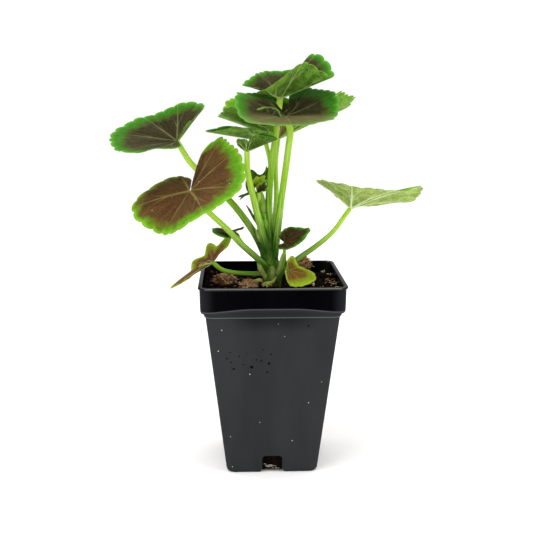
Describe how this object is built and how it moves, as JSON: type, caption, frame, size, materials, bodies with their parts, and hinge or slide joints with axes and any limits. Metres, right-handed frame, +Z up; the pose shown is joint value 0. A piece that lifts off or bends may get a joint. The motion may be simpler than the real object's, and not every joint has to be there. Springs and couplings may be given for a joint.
{
  "type": "potted geranium",
  "caption": "Young zonal geranium with rounded, scalloped, bronze-zoned leaves on upright stalks, in a tapered square plastic nursery pot filled with soil.",
  "frame": {"origin": "middle of the pot's flat underside, on the surface the pot stands on", "axes": "+Z up, +X to the right along the pot's front, and the pot's front faces -Y"},
  "size_m": [0.1939, 0.1274, 0.2616],
  "materials": {
    "pot_plastic": "dark charcoal moulded plastic, satin, shinier on the rim band and inside",
    "peat": "moist dark peat, crumbly and dull, with pale grains of perlite",
    "bark": "rough brown bark and coir fibre, dry and dull",
    "leaf": "soft downy leaf, satin, bronze centre zone with a bright green scalloped margin, paler underneath",
    "young_leaf": "soft young leaf, yellow-green with a faint bronze centre",
    "stalk": "light green fleshy stalk with fine hairs, darker at the foot"
  },
  "bodies": {
    "root": {"pot": "pot_plastic", "soil": "peat", "coir_clump_left": "bark", "coir_clump_front": "bark", "bark_chip": "bark", "leaf_upper_left": "leaf", "leaf_front_left": "leaf", "leaf_top": "leaf", "leaf_bowl": "leaf", "leaf_back": "leaf", "leaf_middle_left": "leaf", "leaf_right": "leaf", "leaf_half_open": "leaf", "leaf_low_right": "leaf", "leaf_low_front": "young_leaf", "leaf_low_left": "young_leaf", "leaf_bow": "leaf", "crown_leaf_front": "leaf", "crown_leaf_left": "young_leaf", "crown_leaf_back": "leaf", "stems": "stalk"}
  },
  "joints": []
}
